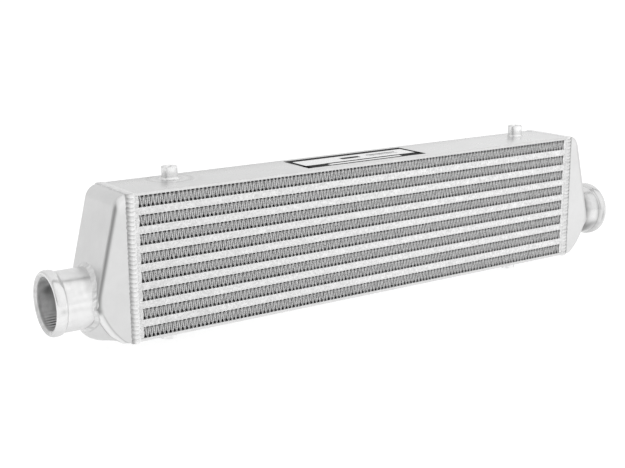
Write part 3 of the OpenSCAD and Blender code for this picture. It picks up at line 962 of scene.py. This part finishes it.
# ---------------------------------------------------------------- tank welds
def tank_bead_mesh(side, seed, step=0.34, m=13):
    """Rippled bead all round the joint of core and tank."""
    rng = np.random.default_rng(seed)
    rc = 1.2
    # path in (y, z) with its outward normal, starting at the front bottom
    pts, nor = [], []

    def run(p0, p1, nv):
        n = max(2, int(np.hypot(p1[0] - p0[0], p1[1] - p0[1]) / step))
        for k in range(n):
            u = k / n
            pts.append((p0[0] + (p1[0] - p0[0]) * u, p0[1] + (p1[1] - p0[1]) * u))
            nor.append(nv)

    def turn(c, a0, a1, n=9):
        for k in range(n):
            a = math.radians(a0 + (a1 - a0) * k / n)
            pts.append((c[0] + rc * math.cos(a), c[1] + rc * math.sin(a)))
            nor.append((math.cos(a), math.sin(a)))
    y, z = HY, HZ
    run((-y, -z + rc), (-y, z - rc), (-1, 0))
    turn((-y + rc, z - rc), 180, 90)
    run((-y + rc, z), (y - rc, z), (0, 1))
    turn((y - rc, z - rc), 90, 0)
    run((y, z - rc), (y, -z + rc), (1, 0))
    turn((y - rc, -z + rc), 0, -90)
    run((y - rc, -z), (-y + rc, -z), (0, -1))
    turn((-y + rc, -z + rc), -90, -180)
    pts, nor = np.array(pts), np.array(nor)
    d = np.r_[0, np.cumsum(np.linalg.norm(np.diff(pts, axis=0), axis=1))]
    total = d[-1] + np.linalg.norm(pts[0] - pts[-1])
    n = len(pts)
    # ripples: 4.1 mm apart, a little uneven
    rate = (1 + 0.16 * wave_noise(d, seed, (9, 21, 50))) / 4.1
    seg = np.diff(np.r_[d, total])
    ph = np.r_[0, np.cumsum(rate * seg)]
    ph = ph[:-1] * round(ph[-1]) / ph[-1]
    crisp = 0.75 + 0.25 * smoothstep(pts[:, 1], -28 if side < 0 else 0, -6 if side < 0 else 18)
    crisp = np.where(nor[:, 0] < -0.3, crisp, 0.9)
    wl = wave_noise(d, seed + 3, (5, 12, 33))
    wr = wave_noise(d, seed + 4, (5, 12, 33))
    top = smoothstep(nor[:, 1], 0.5, 0.95)
    hv = (1 - 0.12 * np.abs(wave_noise(d, seed + 5, (9, 25, 60)))) * (1 - 0.55 * top)
    # spatter and small lumps, on the core's side only
    lump = wave_noise(d, seed + 8, (1.6, 2.7, 4.4))
    # the right-hand bead is the narrower one
    mid, wide = (277.9, 4.8) if side < 0 else (276.7, 3.7)
    front = smoothstep(-nor[:, 0], 0.3, 0.9) * (1.0 if side < 0 else 0.8)
    dark = wave_noise(d, seed + 9, (4, 9, 19))
    rows, tone = [], []
    for j in range(m):
        w = -1 + 2 * j / (m - 1)  # -1 on the core, 1 on the tank
        # each ripple is a scale that dips where the next one starts, and
        # trails away towards the tank
        f = np.mod(ph + 0.34 * (1 - w * w) - 0.16 * w, 1)
        rip = np.where(f < 0.22, np.sin(f / 0.22 * math.pi / 2), np.cos((f - 0.22) / 0.78 * math.pi / 2) ** 0.8)
        prof = max(0.0, 1 - abs(w) ** 2.3) ** 0.62
        core = max(0.0, -w) ** 0.7
        dip = (0.55 - 0.2 * core) * crisp * (1 - rip) + 0.13 * core * np.abs(lump)
        hgt = 1.97 * prof * hv * (1 - dip)
        scal = 0.32 * crisp * (rip - 0.6)
        half = wide + 0.3 * (wl if w < 0 else wr) + scal + (0.25 * lump if w < -0.6 else 0)
        x = mid + w * half
        p = pts + nor * (hgt - 0.05)[:, None]
        rows.append(np.column_stack([x, p]))
        # soot of the arc and painted shade on the tank's side, painted shade in between the ripples and in the hollows
        # of the lumps
        soot_and_shade = front * (0.52 + 0.08 * dark) * smoothstep(w, -0.05 if side < 0 else 0.3, 1.0)
        if side > 0:
            soot_and_shade = soot_and_shade + front * (0.10 + 0.2 * np.clip(dark, 0, 1) + 0.12 * np.clip(lump, -0.5, 1))
            soot_and_shade = soot_and_shade + 0.4 * front * smoothstep(w, 0.55, 0.9)
        soot_and_shade = soot_and_shade + 0.10 * (1 - front) * smoothstep(w, 0.0, 1.0)
        soot_and_shade = soot_and_shade + top * (0.14 + 0.12 * dark) * smoothstep(abs(w), 0.6, 0.95)
        gap = (0.08 + 0.22 * front) * crisp * (1 - rip) * smoothstep(w, -0.8, -0.3) * (1 - smoothstep(w, 0.7, 1.0))
        tone.append(0.99 - soot_and_shade - gap - 0.18 * front * np.clip(-lump - 0.35, 0, 1) * smoothstep(-w, 0.3, 0.7))
    if side > 0:
        # thin line past the toe, on the tank: soot and painted shade in the crease
        for dx, h in ((0.12, 0.06), (1.5, 0.06), (1.6, -0.3)):
            rows.append(np.column_stack([mid + wide + 0.3 * wr + dx, pts + nor * h]))
            tone.append(0.95 - (0.52 + 0.1 * dark) * front)
    for w in (0.9, -0.9):
        p = pts - nor * 1.0
        rows.append(np.column_stack([np.full(n, mid + w * (wide - 0.4)), p]))
        tone.append(np.full(n, 0.8))
    co = np.vstack(rows)
    f = grid_faces(len(rows), n, wrap_rows=True, wrap_cols=True)
    return co, f, np.concatenate(tone)


for side, nm in ((-1, "left"), (1, "right")):
    co, fc, tone = tank_bead_mesh(side, 80 + side)
    if side < 0:
        co, fc = mirror_x(co), flipped(fc)
    o = make(f"tank_weld_bead_{nm}", co, fc, [M["weld"]], (f"{nm}_tank_weld",), 60.0)
    set_tone(o.data, tone)

# ---------------------------------------------------------------- bosses
def boss_mesh(x, y, up, seed, n=96):
    """Turned boss with a weld at its foot and a real M8 thread in its hole."""
    rng = np.random.default_rng(seed)
    a = np.linspace(0, 2 * math.pi, n, endpoint=False)
    wob = wave_noise(a * 9, seed, (5, 11, 19))
    prof = []
    for k in range(7):
        t = math.radians(90 * k / 6)
        prof.append((8.0 + 1.8 * (1 - math.sin(t)), 1.9 * (1 - math.cos(t))))
    prof += [(8.0, 2.1), (8.0, 6.0), (8.0, 10.9)]
    for k in range(1, 7):
        t = math.radians(90 * k / 6)
        prof.append((7.1 + 0.9 * math.cos(t), 11.1 + 0.9 * math.sin(t)))
    prof += [(5.6, 12.0), (4.35, 12.0)]
    rows = []
    for q, (r, z) in enumerate(prof):
        rr = r + (0.22 * wob if q < 5 else 0.0) * (1 - q / 5 if q < 5 else 0)
        rows.append(np.column_stack([rr * np.cos(a), rr * np.sin(a), np.full(n, z)]))
    # thread: 60 degree ridges, 1.25 mm apart, down the hole
    per, depth = 6, 9.6
    steps = int(depth / 1.25 * per)
    for k in range(steps + 1):
        zz = 11.4 - k * 1.25 / per + 1.25 * a / (2 * math.pi)
        zz = np.minimum(zz, 11.9)
        u = np.mod(k / per, 1)
        ridge = abs(2 * u - 1)
        r = 3.4 + 0.62 * ridge
        lead = np.clip((zz - 11.0) / 0.9, 0, 1)
        rr = np.maximum(r, 3.6 + 0.75 * lead)
        rr = np.where(zz > 10.8, rr, r)
        rows.append(np.column_stack([rr * np.cos(a), rr * np.sin(a), zz]))
    zb = 12 - 10.0
    rows.append(np.column_stack([3.0 * np.cos(a), 3.0 * np.sin(a), np.full(n, zb)]))
    co = np.vstack(rows + [np.array([[0, 0, zb - 0.6]])])
    m = len(rows)
    f = grid_faces(m, n, wrap_cols=True)
    tip = m * n
    f += [((m - 1) * n + j, (m - 1) * n + (j + 1) % n, tip) for j in range(n)]
    f.append(tuple(reversed(range(n))))
    if not up:
        co[:, 2] *= -1
        f = flipped(f)
    co = co + np.array([x, y, HZ if up else -HZ])
    return co, f


for nm, x, y, up in (("top_left", -215, 13, True), ("top_right", 235, 13, True),
                     ("bottom_left", -230, -3, False), ("bottom_right", 215, -3, False)):
    co, fc = boss_mesh(x, y, up, 500 + x)
    o = make(f"threaded_boss_{nm}", co, fc, [M["boss"]], (f"{nm}_boss",), 38.0)
    # painted reflections in upright bands, dark to the left and at the right edge, painted highlights between: middle,
    # half width and depth
    bands = ((-66, 26, -0.2), (-29, 11, 0.12), (88, 7, -0.5), (55, 22, 0.12)) if x < 0 else (
        (-62, 20, -0.32), (-22, 8, 0.1), (-6, 10, -0.06), (84, 11, -0.65), (38, 22, 0.14))
    turn = np.degrees(np.arctan2(co[:, 1] - y, co[:, 0] - x)) + (117 if x < 0 else 134)
    turn = (turn + 180) % 360 - 180
    set_tone(o.data, 1.0 + sum(d * np.exp(-((turn - c) / w) ** 2) for c, w, d in bands))

# ---------------------------------------------------------------- label
def label_materials():
    m, t, b, co = new_material("label_foil", 0.3)
    c = t.noise(co, 40.0, 4.0, 0.6)
    t.link(t.ramp(c, [(0.3, grey(0.88)), (0.7, grey(0.94))]), b.inputs["Base Color"])
    t.link(t.remap(t.noise(co, 220.0), 0.3, 0.7, 0.22, 0.34), b.inputs["Roughness"])
    t.link(t.bump(t.noise(co, 260.0, 3.0), 0.00002), b.inputs["Normal"])
    k, t, b, co = new_material("label_ink", 0.0)
    b.inputs["Specular IOR Level"].default_value = 0.08
    c = t.noise(co, 300.0, 4.0, 0.6)
    t.link(t.ramp(c, [(0.3, grey(0.010)), (0.7, grey(0.03))]), b.inputs["Base Color"])
    t.link(t.remap(t.noise(co, 400.0), 0.3, 0.7, 0.6, 0.8), b.inputs["Roughness"])
    t.link(t.bump(t.noise(co, 900.0, 3.0), 0.000006), b.inputs["Normal"])
    return m, k


def label_mesh():
    cx, cy, L, W = -3.5, 0.5, 152.0, 48.0
    x0, x1, y0, y1 = cx - L / 2, cx + L / 2, cy - W / 2, cy + W / 2
    parts, idx = [], []

    def slab(poly, z0, z1, mi):
        n = len(poly)
        p = np.array(poly, float)
        co = np.vstack([np.column_stack([p, np.full(n, z0)]), np.column_stack([p, np.full(n, z1)])])
        f = [(j, (j + 1) % n, n + (j + 1) % n, n + j) for j in range(n)]
        f.append(tuple(reversed(range(n))))
        f.append(tuple(range(n, 2 * n)))
        parts.append((co, f))
        idx.extend([mi] * len(f))

    def rect(ax, bx, ay, by, shear=0.0):
        """In shares of the label's length and width, from its front left."""
        X = lambda u: x0 + u * L
        Y = lambda v: y0 + v * W
        s = shear * (by - ay)
        slab([(X(ax), Y(ay)), (X(bx), Y(ay)), (X(bx + s), Y(by)), (X(ax + s), Y(by))],
             HZ + 0.22, HZ + 0.28, 1)
    # foil with rounded corners
    rc = 1.6
    poly = []
    for cxx, cyy, a0 in ((x1 - rc, y1 - rc, 0), (x0 + rc, y1 - rc, 90), (x0 + rc, y0 + rc, 180), (x1 - rc, y0 + rc, 270)):
        for k in range(6):
            a = math.radians(a0 + 18 * k)
            poly.append((cxx + rc * math.cos(a), cyy + rc * math.sin(a)))
    slab(poly, HZ - 0.05, HZ + 0.24, 0)
    # border lines
    e = 0.004
    rect(e, 1 - e, 0.82, 0.996)
    rect(e, e + 0.036, 0.02, 0.82)
    rect(1 - e - 0.032, 1 - e, 0.02, 0.82)
    # thick bars in the two front corners, joined by two thin lines
    rect(e, 0.195, 0.014, 0.278)
    rect(0.80, 1 - e, 0.014, 0.278)
    rect(0.195, 0.80, 0.010, 0.085)
    rect(0.195, 0.80, 0.205, 0.290)
    # one plain block, and a thick and a thin rule well apart from it
    rect(0.385, 0.54, 0.49, 0.64)
    rect(0.61, 0.86, 0.59, 0.64)
    rect(0.61, 0.86, 0.50, 0.52)
    co, f = merge(parts)
    return co, f, idx


lm, lk = label_materials()
co, fc, idx = label_mesh()
lab = make("foil_label", co, fc, [lm, lk], ("top_label",), 35.0)
lab.data.polygons.foreach_set("material_index", idx)
lab.data.update()

# ---------------------------------------------------------------- studio
def studio():
    floor_z = cad_lo.z
    me = bpy.data.meshes.new("studio_floor")
    s = 30.0
    me.from_pydata([(-s, -s, floor_z), (s, -s, floor_z), (s, s, floor_z), (-s, s, floor_z)], [], [(0, 1, 2, 3)])
    o = bpy.data.objects.new("studio_floor", me)
    bpy.context.scene.collection.objects.link(o)
    m = bpy.data.materials.new("pale_floor")
    m.use_nodes = True
    b = m.node_tree.nodes["Principled BSDF"]
    b.inputs["Base Color"].default_value = (0.3, 0.3, 0.3, 1)
    b.inputs["Roughness"].default_value = 0.9
    b.inputs["Specular IOR Level"].default_value = 0.1
    b.inputs["Emission Color"].default_value = (1, 1, 1, 1)
    b.inputs["Emission Strength"].default_value = 0.82
    me.materials.append(m)

    w = bpy.data.worlds.new("studio")
    bpy.context.scene.world = w
    w.use_nodes = True
    t = Tree(w.node_tree)
    bg = w.node_tree.nodes["Background"]
    d = t.add("ShaderNodeTexCoord").outputs["Generated"]
    n = t.add("ShaderNodeVectorMath", operation="NORMALIZE")
    t.link(d, n.inputs[0])

    def towards(vec, a, b_, c, e):
        q = t.add("ShaderNodeVectorMath", operation="DOT_PRODUCT")
        t.link(n.outputs["Vector"], q.inputs[0])
        v = Vector(vec).normalized()
        q.inputs[1].default_value = v
        mr = t.add("ShaderNodeMapRange", interpolation_type="SMOOTHSTEP")
        for k, val in zip(("From Min", "From Max", "To Min", "To Max"), (a, b_, c, e)):
            mr.inputs[k].default_value = val
        t.link(q.outputs["Value"], mr.inputs["Value"])
        return mr.outputs["Result"]
    front = towards((0.55, -0.8, 0.25), -0.5, 0.95, 0.9, 1.03)
    left = towards((-1.0, -0.25, 0.08), 0.88, 0.99, 1.0, 0.5)
    sep = t.add("ShaderNodeSeparateXYZ")
    t.link(n.outputs["Vector"], sep.inputs[0])
    # darker band just above the horizon, where the table ends
    band = t.add("ShaderNodeMapRange", interpolation_type="SMOOTHSTEP")
    for k, val in zip(("From Min", "From Max", "To Min", "To Max"), (0.02, 0.16, 0.9, 1.0)):
        band.inputs[k].default_value = val
    t.link(sep.outputs["Z"], band.inputs["Value"])
    # narrow gap between the two overhead boxes, along X
    y2 = t.math("MULTIPLY", sep.outputs["Y"], sep.outputs["Y"])
    z2 = t.math("MULTIPLY", sep.outputs["Z"], sep.outputs["Z"])
    q = t.math("DIVIDE", sep.outputs["Y"], t.math("SQRT", t.math("ADD", y2, z2)))
    off = t.math("ABSOLUTE", t.math("ADD", q, -0.04))
    gap = t.add("ShaderNodeMapRange", interpolation_type="SMOOTHSTEP")
    for k, val in zip(("From Min", "From Max", "To Min", "To Max"), (0.03, 0.11, 0.3, 1.0)):
        gap.inputs[k].default_value = val
    t.link(off, gap.inputs["Value"])
    val = t.math("MULTIPLY", front, left)
    val = t.math("MULTIPLY", val, band.outputs["Result"])
    val = t.math("MULTIPLY", val, gap.outputs["Result"])
    t.link(val, bg.inputs["Strength"])
    bg.inputs["Color"].default_value = (1, 1, 1, 1)

    def area(name, loc, target, size, size_y, power):
        l = bpy.data.lights.new(name, "AREA")
        l.shape = "RECTANGLE"
        l.size, l.size_y = size, size_y
        l.energy = power
        ob = bpy.data.objects.new(name, l)
        ob.location = loc
        ob.rotation_mode = "QUATERNION"
        ob.rotation_quaternion = (Vector(target) - Vector(loc)).to_track_quat("-Z", "Y")
        bpy.context.scene.collection.objects.link(ob)
    area("soft_key", (1.1, -2.0, 1.7), (0, 0, 0), 2.2, 2.2, 0.9)
    area("soft_top", (-0.2, -0.7, 2.0), (0, 0, 0), 2.0, 1.2, 0.5)


studio()

# ---------------------------------------------------------------- camera
yaw, pitch, roll = math.radians(34.169), math.radians(13.610), math.radians(-0.340)
fw = Vector((math.sin(yaw) * math.cos(pitch), math.cos(yaw) * math.cos(pitch), -math.sin(pitch)))
right = Vector((math.cos(yaw), -math.sin(yaw), 0))
up = right.cross(fw)
r2 = math.cos(roll) * right + math.sin(roll) * up
u2 = -math.sin(roll) * right + math.cos(roll) * up
cam_data = bpy.data.cameras.new("camera")
cam_data.sensor_fit = "HORIZONTAL"
cam_data.sensor_width = 36.0
cam_data.lens = 66.36
cam_data.clip_start, cam_data.clip_end = 0.01, 200
cam = bpy.data.objects.new("camera", cam_data)
bpy.context.scene.collection.objects.link(cam)
mat = Matrix((r2, u2, -fw)).transposed().to_4x4()
mat.translation = Vector((-0.70915, -0.95716, 0.27605))
cam.matrix_world = mat
bpy.context.scene.camera = cam
bpy.context.scene.view_settings.view_transform = "Standard"

bpy.context.view_layer.update()
